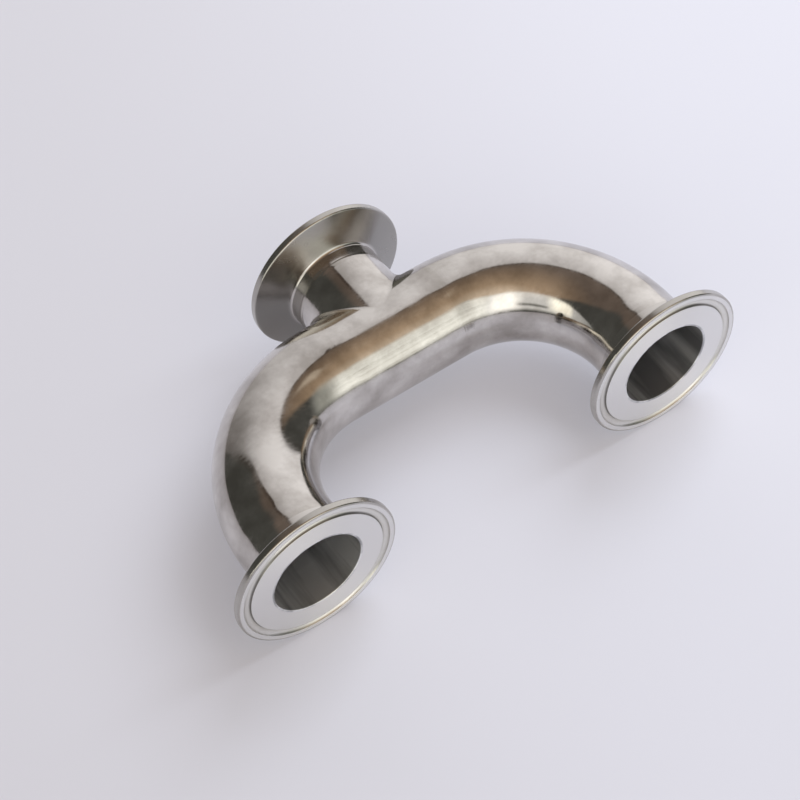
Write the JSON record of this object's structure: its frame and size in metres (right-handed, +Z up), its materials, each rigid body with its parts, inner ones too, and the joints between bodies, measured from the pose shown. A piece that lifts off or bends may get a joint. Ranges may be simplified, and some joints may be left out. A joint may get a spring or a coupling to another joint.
{
  "type": "sanitary tee",
  "caption": "U-shaped sanitary tee of polished stainless tube, with a branch at the middle of the run and a grooved clamp ferrule on each port.",
  "frame": {"origin": "on the surface the fitting lies on, below the middle of its outline", "axes": "+X from the left leg port to the right one, +Y towards the branch port, +Z up from the surface"},
  "size_m": [0.214, 0.1106, 0.064],
  "materials": {
    "polished_tube": "fine satin polish on bent and drawn stainless tube",
    "turned_ferrule": "turned and polished stainless",
    "ground_weld": "weld ground almost flush and polished"
  },
  "bodies": {
    "root": {"tee_body": "polished_tube", "left_elbow": "polished_tube", "right_elbow": "polished_tube", "left_ferrule": "turned_ferrule", "right_ferrule": "turned_ferrule", "branch_ferrule": "turned_ferrule", "left_elbow_weld": "ground_weld", "right_elbow_weld": "ground_weld", "left_ferrule_weld": "ground_weld", "right_ferrule_weld": "ground_weld", "branch_ferrule_weld": "ground_weld"}
  },
  "joints": []
}
